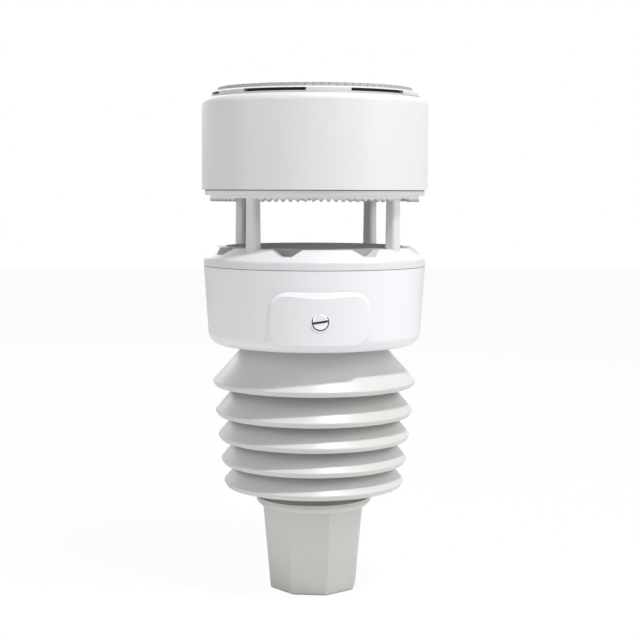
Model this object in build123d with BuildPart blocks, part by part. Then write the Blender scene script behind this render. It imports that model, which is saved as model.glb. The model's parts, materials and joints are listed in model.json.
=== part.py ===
from build123d import *
import os
from math import cos, hypot, radians, sin

os.makedirs("parts", exist_ok=True)

# All-in-one weather station: a rain and wind head on four posts, an electronics housing with a
# service door, a stack of louvers round the air probe, and a socket that drops over a mast.
# Millimetres, +Z up, origin at the middle of the socket's mouth, service door facing -Y.

# ---------------------------------------------------------------- clearances
slip = 0.1            # static parts that slide together
turn_gap = 0.05       # radial gap of a part that turns or slides in its hole
door_gap = 0.3        # service door to housing, all round

# ---------------------------------------------------------------- mast socket
mast_bore_r = 24.4
mast_bore_depth = 46.0
socket_flats_low = 55.0
socket_flats_high = 64.7
socket_taper_height = 56.5
socket_clock = -8.2
socket_edge_chamfer = 1.2
flange_r = 38.3
flange_height = 2.4
flange_fillet_height = 3.0
flange_fillet_r = 7.0
flange_root = 1.0         # how far the flange's fillet reaches down into the octagon
stop_r = 21.0
socket_roof = 3.5

# ---------------------------------------------------------------- shield stack
louver_tips = [(67.4, 139.5), (65.6, 119.8), (63.8, 103.5), (61.9, 87.5), (60.0, 72.5)]
top_louver_neck_r = 45.5
louver_neck_r = 42.0
louver_slope = 1.2         # drop for each millimetre out, louvers 2 to 5
louver_hole_r = 22.0
louver_wall = 2.2
louver_rim_height = 3.2
louver_rim_draft = 2.0
louver_tip_fillet = 1.0
rod_circle_r = 29.5
rod_r = 2.0
rod_clock = 60.0
rod_count = 3
spacer_r = 4.0
nut_flats = 7.0
nut_height = 3.2

# ---------------------------------------------------------------- electronics housing
housing_bottom = 164.0
housing_height = 51.9
housing_top_r = 73.0
housing_foot_r = 69.55
housing_wall = 2.8
housing_floor = 3.0
housing_foot_fillet = 8.5
seam_height = 0.4

rim_wall_height = 5.0
rim_spigot = 3.0
rim_height = 12.2
rim_land_r = 65.2
rim_inner_r = 58.5
rim_edge_fillet = 2.0
ledge_width = 4.0
dish_depth = 4.3
dish_thickness = 3.0
notch_count = 8
notch_top_width = 19.6
notch_floor_width = 8.0
notch_fillet = 3.0

# ---------------------------------------------------------------- posts
pattern_clock = 4.3
post_count = 4
post_circle_r = 62.8
post_width_low = 8.0
post_width_high = 7.4
post_corner = 2.2
post_tenon = 4.0
post_flare = 1.6
post_flare_height = 3.0
tie_rod_r = 1.5
gap_height = 32.4

# ---------------------------------------------------------------- rain and wind head
base_r = 72.3
base_thickness = 3.0
base_edge_fillet = 1.2
spigot_height = 5.0
spigot_wall = 2.4
drip_r = 68.8
drip_width = 2.6
drip_band = 1.6
drip_tooth = 2.1
drip_tooth_count = 90
drum_seal_height = 0.6
drum_r = 74.2
drum_height = 59.2
drum_wall = 2.5
drum_edge_fillet = 4.3
drum_hole_r = 26.0
drum_boss_r = 3.6
drum_boss_circle_r = 61.2
drum_boss_height = 16.0
drum_screw_r = 1.5
transducer_r = 8.0
transducer_height = 12.0
transducer_circle_r = 38.0
transducer_gasket = 1.5

bezel_height = 1.3
bezel_outer_r = 69.5
bezel_inner_r = 58.0
pad_height = 2.0
pad_outer_r = 67.6
pad_inner_r = 64.6
pad_count = 6
pad_angle = 24.0
carrier_height = 1.0
carrier_low_r = 67.6
carrier_high_r = 65.8
plate_r = 63.7
plate_height = 2.3
plate_thickness = 1.4
plate_skirt = 3.0
plate_rib_count = 80
plate_rib_depth = 0.5
plate_rib_r = 0.9

# ---------------------------------------------------------------- service door
door_width = 63.0
door_height = 34.3
door_corner = 11.0
door_centre_z = 185.45
door_relief = 2.0
door_bevel = 1.0
door_top_bevel = 3.6
door_inset = 3.6
door_lip_depth = 3.4
door_lip_wall = 2.0
door_gasket_width = 1.2
screw_z = 184.2
screw_head_r = 5.1
screw_head_height = 2.6
screw_dome = 1.5
screw_head_arc = 0.25
screw_r = 2.45
screw_slot_width = 1.3
screw_slot_depth = 1.4
screw_slot_tilt = 10.0
screw_recess = 1.3
screw_length = 18.0
clip_r = 4.2
clip_thickness = 0.8
insert_wall = 1.0
boss_width = 10.0

# ---------------------------------------------------------------- boards
board_r = 60.0
board_thickness = 1.6
board_lift = 7.0
board_screw_circle_r = 50.0
board_screw_r = 1.5
standoff_r = 3.2
switch_y = -52.0
dial_r = 3.2
dial_height = 1.6
switch_size = 10.0
switch_depth = 7.0
dial_x = -16.0
button_x = 15.0
button_r = 1.7
button_travel = 0.6
button_proud = 1.6
button_body = 6.0

# ---------------------------------------------------------------- mast clamp screws
clamp_heights = [13.0, 32.0]
clamp_r = 2.95
clamp_insert_r = 4.4
clamp_head_r = 5.0
clamp_head_height = 6.0
clamp_head_clear = 1.2     # head to facet when screwed right in
clamp_tip_clear = 0.1      # tip to the bore's wall when screwed out
clamp_insert_inset = 0.4
clamp_hex_depth = 3.2
clamp_travel = 5.0
clamp_hex = 5.0

# ---------------------------------------------------------------- heights worked out from the above
flange_top = socket_taper_height + flange_fillet_height + flange_height
housing_top = housing_bottom + housing_height
rim_bottom = housing_top
rim_top = rim_bottom + rim_height
dish_top = rim_top - dish_depth
dish_bottom = dish_top - dish_thickness
post_bottom = rim_top - post_tenon
base_bottom = dish_top + dish_depth + gap_height + 1.2
base_top = base_bottom + base_thickness
drum_bottom = base_top + drum_seal_height
drum_top = drum_bottom + drum_height
bezel_top = drum_top + bezel_height
pad_top = bezel_top + pad_height
carrier_top = pad_top + carrier_height
plate_top = carrier_top + plate_height
housing_slope = (housing_top_r - housing_foot_r) / housing_height
door_bottom = door_centre_z - door_height / 2
door_top = door_centre_z + door_height / 2
lip_width = door_width - 2 * door_inset
lip_height = door_height - 2 * door_inset
lip_corner = door_corner - door_inset
board_bottom = housing_bottom + housing_floor + board_lift
board_top = board_bottom + board_thickness


def housing_r(z):
    """Outer radius of the tapered housing at height z."""
    return housing_foot_r + (z - housing_bottom) * housing_slope


def around(clock, radius, z=0):
    """A point at a clock angle, counted from the front (-Y) towards +X."""
    return (radius * sin(radians(clock)), -radius * cos(radians(clock)), z)


def spaced(count, first):
    """Clock angles of a ring of equal features."""
    return [first + 360 / count * number for number in range(count)]


def keep(builder, name):
    builder.part.label = name
    export_step(builder.part, f"parts/{name}.step")


def tube(name, outer, inner, low, high, places=((0, 0),)):
    """One node of plain upright rings or discs, one solid for each place."""
    with BuildPart() as piece:
        with BuildSketch(Plane.XY.offset(low)):
            with Locations(*[(x, y) for x, y in places]):
                Circle(outer)
                if inner:
                    Circle(inner, mode=Mode.SUBTRACT)
        extrude(amount=high - low)
    keep(piece, name)


def column_group(name, outer, inner, groups):
    """One node of upright rings or rods in several groups of (low, high, places)."""
    with BuildPart() as piece:
        for low, high, places in groups:
            with BuildSketch(Plane.XY.offset(low)) as ends:
                with Locations(*places):
                    Circle(outer)
                    if inner:
                        Circle(inner, mode=Mode.SUBTRACT)
            extrude(ends.sketch, amount=high - low)
    keep(piece, name)


def spun(name, outline):
    """One node turned round the Z axis from an outline of (radius, height) points."""
    with BuildPart() as piece:
        with BuildSketch(Plane.XZ):
            with BuildLine():
                Polyline(*outline, close=True)
            make_face()
        revolve(axis=Axis.Z)
    keep(piece, name)


rod_places = [around(clock, rod_circle_r)[:2] for clock in spaced(rod_count, rod_clock)]
post_clocks = spaced(post_count, pattern_clock + 45)
post_places = [around(clock, post_circle_r)[:2] for clock in post_clocks]

# ================================================================ mast socket
def facet_y(z):
    """Distance of the socket's flat facets from the axis at height z."""
    return (socket_flats_low + (socket_flats_high - socket_flats_low) * z / socket_taper_height) / 2


def rear_plane(z, distance):
    """Plane across the rear facet's normal, at height z and a distance from the mast's axis."""
    x, y, _ = around(socket_clock + 180, distance)
    return Plane(origin=(x, y, z), x_dir=(0, 0, 1), z_dir=around(socket_clock + 180, 1))


connector_r = 8.0
connector_hole_r = connector_r + slip

with BuildPart() as mast_socket:
    with BuildSketch(Plane.XY) as mouth:
        RegularPolygon(socket_flats_low / 2, 8, major_radius=False, rotation=socket_clock + 22.5)
    with BuildSketch(Plane.XY.offset(socket_taper_height)) as shoulder:
        RegularPolygon(socket_flats_high / 2, 8, major_radius=False, rotation=socket_clock + 22.5)
    loft()
    chamfer(faces().sort_by(Axis.Z)[0].edges(), socket_edge_chamfer)
    with BuildSketch(Plane.XZ):
        with BuildLine():
            fillet_foot = (socket_flats_high / 2, socket_taper_height - flange_root)
            fillet_head = (flange_r, socket_taper_height + flange_fillet_height)
            RadiusArc(fillet_foot, fillet_head, -flange_fillet_r)
            Polyline(fillet_head, (flange_r, flange_top), (0, flange_top), (0, fillet_foot[1]), fillet_foot)
        make_face()
    revolve(axis=Axis.Z)
    with Locations((0, 0, 0)):
        Cylinder(mast_bore_r, mast_bore_depth, align=(Align.CENTER, Align.CENTER, Align.MIN), mode=Mode.SUBTRACT)
        Cylinder(stop_r, flange_top - socket_roof, align=(Align.CENTER, Align.CENTER, Align.MIN),
                 mode=Mode.SUBTRACT)
        Cylinder(connector_hole_r, flange_top, align=(Align.CENTER, Align.CENTER, Align.MIN), mode=Mode.SUBTRACT)
    with Locations(*[(x, y, flange_top) for x, y in rod_places]):
        Hole(rod_r + slip, 12)
    for height in clamp_heights:
        with BuildSketch(rear_plane(height, 0)):
            Circle(clamp_insert_r)
        extrude(amount=socket_flats_high, mode=Mode.SUBTRACT)
keep(mast_socket, "mast_socket")

# ================================================================ clamp screws on the rear facet
for height, level in zip(clamp_heights, ("lower", "upper")):
    head_seat = facet_y(height) + clamp_travel + clamp_head_clear
    with BuildPart() as clamp_screw:
        with BuildSketch(rear_plane(height, mast_bore_r + clamp_tip_clear)):
            Circle(clamp_r)
        extrude(amount=head_seat - mast_bore_r)
        with BuildSketch(rear_plane(height, head_seat)):
            Circle(clamp_head_r)
        extrude(amount=clamp_head_height)
        outward = Axis((0, 0, height), around(socket_clock + 180, 1))
        chamfer(edges().filter_by(GeomType.CIRCLE).sort_by(outward)[-1], 0.5)
        with BuildSketch(rear_plane(height, head_seat + clamp_head_height)):
            RegularPolygon(clamp_hex / 2, 6, major_radius=False)
        extrude(amount=-clamp_hex_depth, mode=Mode.SUBTRACT)
    keep(clamp_screw, f"clamp_screw_{level}")

with BuildPart() as clamp_inserts:
    for height in clamp_heights:
        with BuildSketch(rear_plane(height, mast_bore_r + clamp_insert_inset)):
            Circle(clamp_insert_r)
            Circle(clamp_r + turn_gap, mode=Mode.SUBTRACT)
        extrude(amount=facet_y(height) - mast_bore_r - 2 * clamp_insert_inset)
keep(clamp_inserts, "clamp_inserts")

# ================================================================ connector in the socket's roof
connector_drop = 8.0
connector_nut_height = 4.0
connector_flange_r = 10.5
roof_bottom = flange_top - socket_roof

with BuildPart() as connector_shell:
    with BuildSketch(Plane.XY.offset(roof_bottom - connector_drop)):
        Circle(connector_r)
        Circle(connector_r - 1.4, mode=Mode.SUBTRACT)
    extrude(amount=connector_drop + socket_roof + connector_nut_height + 2)
    with BuildSketch(Plane.XY.offset(roof_bottom - 1.6)):
        Circle(connector_flange_r)
        Circle(connector_r - 1.4, mode=Mode.SUBTRACT)
    extrude(amount=1.6)
keep(connector_shell, "connector_shell")
tube("connector_core", connector_r - 1.4, 0, roof_bottom - 2, flange_top + 5)
pin_places = [around(clock, 3.6)[:2] for clock in spaced(4, 20)]
tube("connector_pins", 0.7, 0, roof_bottom - 6.5, roof_bottom - 2, pin_places)

with BuildPart() as connector_nut:
    with BuildSketch(Plane.XY.offset(flange_top)):
        RegularPolygon(11.0, 6, major_radius=False)
        Circle(connector_r, mode=Mode.SUBTRACT)
    extrude(amount=connector_nut_height)
keep(connector_nut, "connector_nut")

# ================================================================ louvers, rods and spacers
louver_tops = []
for number, (tip_r, tip_z) in enumerate(louver_tips, start=1):
    top_louver = number == 1
    neck_r = top_louver_neck_r if top_louver else louver_neck_r
    neck_z = housing_bottom if top_louver else tip_z + (tip_r - neck_r) * louver_slope
    louver_tops.append(neck_z)
    drop = neck_z - tip_z
    run = tip_r - neck_r
    wall_drop = louver_wall * hypot(drop, run) / run
    rim_r = tip_r - louver_rim_draft
    inside_r = rim_r - louver_wall
    inside_z = tip_z + (tip_r - inside_r) * drop / run - wall_drop
    elbow_r = tip_r - (neck_z - louver_wall + wall_drop - tip_z) * run / drop
    with BuildPart() as louver:
        with BuildSketch(Plane.XZ):
            with BuildLine():
                Polyline(
                    (louver_hole_r, neck_z), (neck_r, neck_z), (tip_r, tip_z),
                    (rim_r, tip_z - louver_rim_height), (inside_r, tip_z - louver_rim_height),
                    (inside_r, inside_z), (elbow_r, neck_z - louver_wall),
                    (louver_hole_r, neck_z - louver_wall), close=True,
                )
            make_face()
            fillet(vertices().sort_by(Axis.X)[-2:], louver_tip_fillet)
        revolve(axis=Axis.Z)
        with Locations(*[(x, y, neck_z) for x, y in rod_places]):
            Hole(rod_r + slip, 2 * louver_wall)
    keep(louver, f"louver_{number}")

rod_bottom = flange_top - 10
rod_top = housing_bottom + housing_floor + nut_height + 2
tube("shield_rods", rod_r, 0, rod_bottom, rod_top, rod_places)

with BuildPart() as shield_spacers:
    stack = [(louver_tops[index + 1], louver_tops[index] - louver_wall) for index in range(4)]
    stack.append((flange_top, louver_tops[-1] - louver_wall))
    for low, high in stack:
        with BuildSketch(Plane.XY.offset(low)):
            with Locations(*rod_places):
                Circle(spacer_r)
                Circle(rod_r + slip, mode=Mode.SUBTRACT)
        extrude(amount=high - low)
keep(shield_spacers, "shield_spacers")

with BuildPart() as shield_nuts:
    with BuildSketch(Plane.XY.offset(housing_bottom + housing_floor)):
        with Locations(*rod_places):
            RegularPolygon(nut_flats / 2, 6, major_radius=False)
            Circle(rod_r, mode=Mode.SUBTRACT)
    extrude(amount=nut_height)
keep(shield_nuts, "shield_nuts")

# ================================================================ air probe in the middle of the shield
probe_r = 6.0
probe_length = 48.0
probe_cap_r = 7.5
probe_cap_length = 26.0
grommet_r = 9.0

probe_bottom = housing_bottom - probe_length
tube("humidity_probe", probe_r, 0, probe_bottom, board_bottom - 2)
tube("probe_grommet", grommet_r, probe_r, housing_bottom, housing_bottom + housing_floor)
with BuildPart() as probe_filter_cap:
    with BuildSketch(Plane.XY.offset(probe_bottom - 6)):
        Circle(probe_cap_r)
    extrude(amount=probe_cap_length)
    fillet(edges().sort_by(Axis.Z)[0], 2.5)
    with BuildSketch(Plane.XY.offset(probe_bottom)):
        Circle(probe_r)
    extrude(amount=probe_cap_length, mode=Mode.SUBTRACT)
    with PolarLocations(0, 6):
        with Locations((0, 0, probe_bottom + probe_cap_length / 2 - 8)):
            Box(2 * probe_cap_r, 1.6, 7, align=(Align.MIN, Align.CENTER, Align.CENTER), mode=Mode.SUBTRACT)
keep(probe_filter_cap, "probe_filter_cap")

# ================================================================ electronics housing
opening_margin = door_gasket_width + door_gap
insert_r = screw_r + turn_gap + insert_wall
pillar_depth = 8.0
pillar_front = door_lip_depth + clip_thickness + 2 * door_gap - housing_r(screw_z)
pillar_height = screw_z + boss_width / 2 - housing_bottom - housing_floor
vent_r = 3.0
vent_x = -16.0
lug_r = 3.4
lug_height = 9.0
lug_places = [around(clock, housing_top_r - housing_wall - lug_r + 0.8)[:2]
              for clock in spaced(post_count, pattern_clock)]
with BuildPart() as housing_body:
    with BuildSketch(Plane.XZ):
        with BuildLine():
            Polyline(
                (0, housing_bottom), (housing_foot_r, housing_bottom),
                (housing_top_r, housing_top - seam_height), (0, housing_top - seam_height), close=True,
            )
        make_face()
        fillet(vertices().group_by(Axis.Y)[0].sort_by(Axis.X)[-1], housing_foot_fillet)
    revolve(axis=Axis.Z)
    with BuildSketch(Plane.XZ):
        with BuildLine():
            Polyline(
                (0, housing_bottom + housing_floor),
                (housing_foot_r - housing_wall, housing_bottom + housing_floor),
                (housing_top_r - housing_wall, housing_top), (0, housing_top), close=True,
            )
        make_face()
        fillet(vertices().group_by(Axis.Y)[0].sort_by(Axis.X)[-1], housing_foot_fillet - housing_wall)
    revolve(axis=Axis.Z, mode=Mode.SUBTRACT)
    # service opening
    with BuildSketch(Plane.XZ):
        with Locations((0, door_centre_z)):
            RectangleRounded(lip_width + 2 * opening_margin, lip_height + 2 * opening_margin,
                             lip_corner + opening_margin)
    extrude(amount=housing_top_r + 1, mode=Mode.SUBTRACT)
    # pillar behind the door's screw, standing on the floor
    with Locations((0, pillar_front, housing_bottom + housing_floor)):
        Box(boss_width, pillar_depth, pillar_height, align=(Align.CENTER, Align.MIN, Align.MIN))
    with BuildSketch(Plane.XZ.offset(-pillar_front)):
        with Locations((0, screw_z)):
            Circle(insert_r)
    extrude(amount=-pillar_depth, mode=Mode.SUBTRACT)
    # floor: probe grommet, vent and shield rods
    with Locations((0, 0, housing_bottom + housing_floor)):
        Hole(grommet_r, 2 * housing_floor)
    with Locations((vent_x, 0, housing_bottom + housing_floor)):
        Hole(vent_r, 2 * housing_floor)
    with Locations(*[(x, y, housing_bottom + housing_floor) for x, y in rod_places]):
        Hole(rod_r + slip, 2 * housing_floor)
    # lugs for the screws that hold the rim ring
    with BuildSketch(Plane.XY.offset(rim_bottom - rim_spigot - seam_height - lug_height)):
        with Locations(*lug_places):
            Circle(lug_r)
    extrude(amount=lug_height)
    with BuildSketch(Plane.XY.offset(rim_bottom)):
        with Locations(*lug_places):
            Circle(board_screw_r)
    extrude(amount=-rim_spigot - 2 * lug_height, mode=Mode.SUBTRACT)
keep(housing_body, "housing_body")

# ================================================================ service door and its screw
def housing_skin(low, high, inner, outer):
    """Outline of a band that follows the tapered housing, inner and outer beyond its surface."""
    return [(housing_r(low) + inner, low), (housing_r(low) + outer, low),
            (housing_r(high) + outer, high), (housing_r(high) + inner, high)]


def door_outline(margin):
    """The door's rounded rectangle, grown or shrunk all round by a margin."""
    with Locations((0, door_centre_z)):
        RectangleRounded(door_width + 2 * margin, door_height + 2 * margin, door_corner + margin)


def band(low, high, inner, outer):
    """Turns a band of the housing's skin round the axis, in the part being built."""
    with BuildSketch(Plane.XZ) as outline:
        with BuildLine():
            Polyline(*housing_skin(low, high, inner, outer), close=True)
        make_face()
    revolve(outline.sketch, axis=Axis.Z)


with BuildPart() as door_lip:
    band(door_bottom, door_top, -door_lip_depth, door_gap + 0.1)
    with BuildSketch(Plane.XZ):
        door_outline(-door_inset)
    extrude(amount=drum_r, mode=Mode.INTERSECT)
    with BuildSketch(Plane.XZ):
        door_outline(-door_inset - door_lip_wall)
        with Locations((0, screw_z)):
            Circle(screw_head_r + 1.5, mode=Mode.SUBTRACT)
    extrude(amount=drum_r, mode=Mode.SUBTRACT)

clip_seat = housing_r(screw_z) - door_lip_depth + 0.6
with BuildPart() as service_door:
    band(door_bottom - 1, door_top + 1, door_gap, door_relief)
    with BuildSketch(Plane.XZ):
        door_outline(0)
    extrude(amount=drum_r + 5, mode=Mode.INTERSECT)
    # wide bevel along the top, that follows the curve
    with BuildSketch(Plane.XZ):
        with BuildLine():
            Polyline(
                (housing_r(door_top) + door_gap + 0.4, door_top + 0.1),
                (housing_r(door_top) + door_relief + 2, door_top + 0.1),
                (housing_r(door_top) + door_relief + 2, door_top - door_top_bevel - 3),
                (housing_r(door_top) + door_relief - 0.2, door_top - door_top_bevel), close=True,
            )
        make_face()
    revolve(axis=Axis.Z, mode=Mode.SUBTRACT)
    add(door_lip.part)
    with BuildSketch(Plane.XZ.offset(housing_r(screw_z) + door_relief - screw_recess)):
        with Locations((0, screw_z)):
            Circle(screw_head_r + 0.5)
    extrude(amount=5, mode=Mode.SUBTRACT)
    with BuildSketch(Plane.XZ.offset(clip_seat)):
        with Locations((0, screw_z)):
            Circle(clip_r + 0.5)
    extrude(amount=-5, mode=Mode.SUBTRACT)
    with BuildSketch(Plane.XZ):
        with Locations((0, screw_z)):
            Circle(screw_r + turn_gap)
    extrude(amount=drum_r + 5, mode=Mode.SUBTRACT)
keep(service_door, "service_door")

with BuildPart() as door_gasket:
    band(door_bottom, door_top, -housing_wall, door_gap)
    with BuildSketch(Plane.XZ):
        door_outline(door_gasket_width - door_inset)
    extrude(amount=drum_r, mode=Mode.INTERSECT)
    with BuildSketch(Plane.XZ):
        door_outline(-door_inset)
    extrude(amount=drum_r, mode=Mode.SUBTRACT)
keep(door_gasket, "door_gasket")

door_screw_seat = housing_r(screw_z) + door_relief - screw_recess
with BuildPart() as door_screw:
    with BuildSketch(Plane.XZ.offset(door_screw_seat - screw_length)):
        with Locations((0, screw_z)):
            Circle(screw_r)
    extrude(amount=screw_length)
    with BuildSketch(Plane(origin=(0, 0, screw_z), x_dir=(1, 0, 0), z_dir=(0, 0, 1))):
        with BuildLine():
            base = (0, -door_screw_seat)
            rim_low = (screw_head_r, -door_screw_seat)
            rim_high = (screw_head_r, -door_screw_seat - screw_head_height + screw_dome)
            crown = (0, -door_screw_seat - screw_head_height)
            Polyline(crown, base, rim_low, rim_high)
            SagittaArc(rim_high, crown, screw_head_arc)
        make_face()
    revolve(axis=Axis((0, 0, screw_z), (0, 1, 0)))
    with BuildSketch(Plane.XZ.offset(door_screw_seat + screw_head_height - screw_slot_depth)):
        with Locations((0, screw_z)):
            Rectangle(2 * screw_head_r + 1, screw_slot_width, rotation=screw_slot_tilt)
    extrude(amount=screw_slot_depth + 1, mode=Mode.SUBTRACT)
keep(door_screw, "door_screw")

with BuildPart() as door_screw_clip:
    with BuildSketch(Plane.XZ.offset(clip_seat - clip_thickness - slip)):
        with Locations((0, screw_z)):
            Circle(clip_r)
            Circle(screw_r, mode=Mode.SUBTRACT)
    extrude(amount=clip_thickness)
keep(door_screw_clip, "door_screw_clip")

with BuildPart() as door_screw_insert:
    with BuildSketch(Plane.XZ.offset(-pillar_front)):
        with Locations((0, screw_z)):
            Circle(insert_r)
            Circle(screw_r + turn_gap, mode=Mode.SUBTRACT)
    extrude(amount=-pillar_depth)
keep(door_screw_insert, "door_screw_insert")

# ================================================================ boards behind the service door
standoff_places = [around(clock, board_screw_circle_r)[:2] for clock in spaced(4, pattern_clock + 45)]
with BuildPart() as main_board:
    with BuildSketch(Plane.XY.offset(board_bottom)):
        Circle(board_r)
        with Locations((0, -board_r)):
            Rectangle(boss_width + 3, 2 * (board_r + pillar_front + pillar_depth + 2), mode=Mode.SUBTRACT)
        with Locations(*standoff_places):
            Circle(board_screw_r + slip, mode=Mode.SUBTRACT)
    extrude(amount=board_thickness)
keep(main_board, "main_board")


def front_disc(x, z, radius, low, high, hole=0):
    """A disc or ring across Y, between two distances in front of the axis."""
    with BuildSketch(Plane.XZ.offset(low)) as disc:
        with Locations((x, z)):
            Circle(radius)
            if hole:
                Circle(hole, mode=Mode.SUBTRACT)
    extrude(disc.sketch, amount=high - low)


switch_z = board_top + switch_size / 2
button_z = board_top + button_body / 2

with BuildPart() as address_switch:
    with BuildSketch(Plane.XZ.offset(-switch_y)):
        with Locations((dial_x, switch_z)):
            RectangleRounded(switch_size, switch_size, 0.6)
            Circle(dial_r + turn_gap, mode=Mode.SUBTRACT)
    extrude(amount=-2)
    with BuildSketch(Plane.XZ.offset(-switch_y - 2)):
        with Locations((dial_x, switch_z)):
            RectangleRounded(switch_size, switch_size, 0.6)
    extrude(amount=2 - switch_depth)
keep(address_switch, "address_switch")

with BuildPart() as address_dial:
    front_disc(dial_x, switch_z, dial_r, -switch_y - 1.9, -switch_y - 1.9 + dial_height + 1.2)
    with BuildSketch(Plane.XZ.offset(-switch_y - 1.9 + dial_height + 0.3)):
        with Locations((dial_x, switch_z)):
            Rectangle(2 * dial_r - 1.2, 1.0)
    extrude(amount=2, mode=Mode.SUBTRACT)
keep(address_dial, "address_dial")

with BuildPart() as reset_switch:
    with BuildSketch(Plane.XZ.offset(-switch_y - 2)):
        with Locations((button_x, button_z)):
            RectangleRounded(button_body, button_body, 0.4)
            Circle(button_r + turn_gap, mode=Mode.SUBTRACT)
    extrude(amount=-2)
    with BuildSketch(Plane.XZ.offset(-switch_y - 4)):
        with Locations((button_x, button_z)):
            RectangleRounded(button_body, button_body, 0.4)
    extrude(amount=-1.5)
keep(reset_switch, "reset_switch")

with BuildPart() as reset_button:
    front_disc(button_x, button_z, button_r, -switch_y - 4 + button_travel + 0.3, -switch_y - 2 + button_proud)
keep(reset_button, "reset_button")

terminal_x = 29.0
terminal_pitch = 5.0
terminal_ways = 3
terminal_height = 9.0
terminal_depth = 8.0
terminal_front = 46.0
terminal_width = terminal_pitch * terminal_ways
with BuildPart() as terminal_block:
    with Locations((terminal_x, -terminal_front, board_top)):
        Box(terminal_width, terminal_depth, terminal_height, align=(Align.CENTER, Align.MIN, Align.MIN))
    with BuildSketch(Plane.XZ.offset(terminal_front)):
        with Locations((terminal_x, board_top + 3.0)):
            with GridLocations(terminal_pitch, 1, terminal_ways, 1):
                Rectangle(3.4, 3.4)
    extrude(amount=-4, mode=Mode.SUBTRACT)
keep(terminal_block, "terminal_block")

with BuildPart() as board_components:
    with BuildSketch(Plane.XY.offset(board_top)):
        with Locations((0, 22)):
            Rectangle(14, 14)
        with Locations((-28, 14)):
            Rectangle(12, 8)
        with Locations((30, 16)):
            Rectangle(10, 7)
        with Locations((-24, -14)):
            Rectangle(8, 8)
    extrude(amount=2.2)
    with BuildSketch(Plane.XY.offset(board_top)):
        with Locations((16, 38), (-16, 38)):
            Circle(4)
    extrude(amount=9)
keep(board_components, "board_components")
tube("pressure_vent", vent_r, 0.8, housing_bottom - 1.5, housing_bottom + housing_floor + 1, [(vent_x, 0)])

# ================================================================ rim ring and reflector dish
ledge_r = rim_inner_r - ledge_width
with BuildPart() as rim_ring:
    with BuildSketch(Plane.XZ):
        with BuildLine():
            Polyline(
                (housing_top_r, rim_bottom), (housing_top_r, rim_bottom + rim_wall_height),
                (rim_land_r, rim_top), (rim_inner_r, rim_top), (rim_inner_r, dish_bottom),
                (ledge_r, dish_bottom), (ledge_r, dish_bottom - ledge_width),
                (rim_inner_r + 5, rim_bottom + 2), (rim_inner_r + 5, rim_bottom), close=True,
            )
        make_face()
        outer_corners = vertices().filter_by_position(Axis.X, rim_land_r - 0.1, housing_top_r + 1)
        fillet(outer_corners.sort_by(Axis.Y)[1:], rim_edge_fillet)
    revolve(axis=Axis.Z)
    # spigot into the housing
    with BuildSketch(Plane.XY.offset(rim_bottom - rim_spigot)):
        Circle(housing_top_r - housing_wall - 0.5)
        Circle(housing_top_r - housing_wall - 2.7, mode=Mode.SUBTRACT)
    extrude(amount=rim_spigot + 0.5)
    # drain notches, rounded slopes down to the dish's level
    for clock in spaced(notch_count, pattern_clock + 22.5):
        notch_plane = Plane(origin=around(clock, ledge_r, rim_top), x_dir=around(clock + 90, 1),
                            z_dir=around(clock, 1))
        with BuildSketch(notch_plane):
            with BuildLine():
                Polyline(
                    (-notch_top_width / 2 - 3, 1), (-notch_top_width / 2 - 3, 0.0),
                    (-notch_top_width / 2, 0), (-notch_floor_width / 2, -dish_depth),
                    (notch_floor_width / 2, -dish_depth), (notch_top_width / 2, 0),
                    (notch_top_width / 2 + 3, 0.0), (notch_top_width / 2 + 3, 1), close=True,
                )
            make_face()
            fillet(vertices().group_by(Axis.Y)[0], notch_fillet)
        extrude(amount=25, mode=Mode.SUBTRACT)
    # sockets for the posts' tenons
    for clock, place in zip(post_clocks, post_places):
        with BuildSketch(Plane(origin=(*place, post_bottom), x_dir=around(clock + 90, 1), z_dir=(0, 0, 1))):
            RectangleRounded(post_width_low + 2 * slip, post_width_low + 2 * slip, post_corner + slip)
        extrude(amount=post_tenon + 1, mode=Mode.SUBTRACT)
    with Locations(*[(x, y, post_bottom) for x, y in post_places]):
        Hole(tie_rod_r + slip, 2 * rim_height)
    with Locations(*[(x, y, rim_bottom) for x, y in lug_places]):
        Hole(board_screw_r, rim_wall_height)
keep(rim_ring, "rim_ring")

seal_outer_r = housing_top_r - 0.5
tube("housing_seal", seal_outer_r, housing_top_r - housing_wall + 0.1, rim_bottom - seam_height, rim_bottom)

with BuildPart() as reflector_dish:
    with BuildSketch(Plane.XY.offset(dish_bottom)):
        Circle(rim_inner_r - slip)
        with Locations(*post_places):
            Circle(post_width_low * 0.75, mode=Mode.SUBTRACT)
    extrude(amount=dish_thickness)
    with BuildSketch(Plane.XY.offset(dish_top)):
        Circle(rim_inner_r - 5)
    extrude(amount=-0.4, mode=Mode.SUBTRACT)
keep(reflector_dish, "reflector_dish")

lug_screw_bottom = rim_bottom - rim_spigot - seam_height - lug_height + 1

# ================================================================ posts and their tie rods
for number, (clock, place) in enumerate(zip(post_clocks, post_places), start=1):
    with BuildPart() as post:
        across = around(clock + 90, 1)
        with BuildSketch(Plane(origin=(*place, post_bottom), x_dir=across, z_dir=(0, 0, 1))):
            RectangleRounded(post_width_low, post_width_low, post_corner)
        with BuildSketch(Plane(origin=(*place, base_bottom), x_dir=across, z_dir=(0, 0, 1))):
            RectangleRounded(post_width_high, post_width_high, post_corner)
        loft()
        with BuildSketch(Plane(origin=(*place, base_bottom - post_flare_height), x_dir=across, z_dir=(0, 0, 1))):
            RectangleRounded(post_width_high, post_width_high, post_corner)
        with BuildSketch(Plane(origin=(*place, base_bottom), x_dir=across, z_dir=(0, 0, 1))):
            RectangleRounded(post_width_high + 2 * post_flare, post_width_high + 2 * post_flare,
                             post_corner + post_flare)
        loft()
        with Locations((*place, base_bottom)):
            Hole(tie_rod_r + slip, base_bottom - post_bottom + 1)
    keep(post, f"post_{number}")

tube("post_tie_rods", tie_rod_r, 0, rim_bottom + 2, base_top + 5, post_places)

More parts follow.
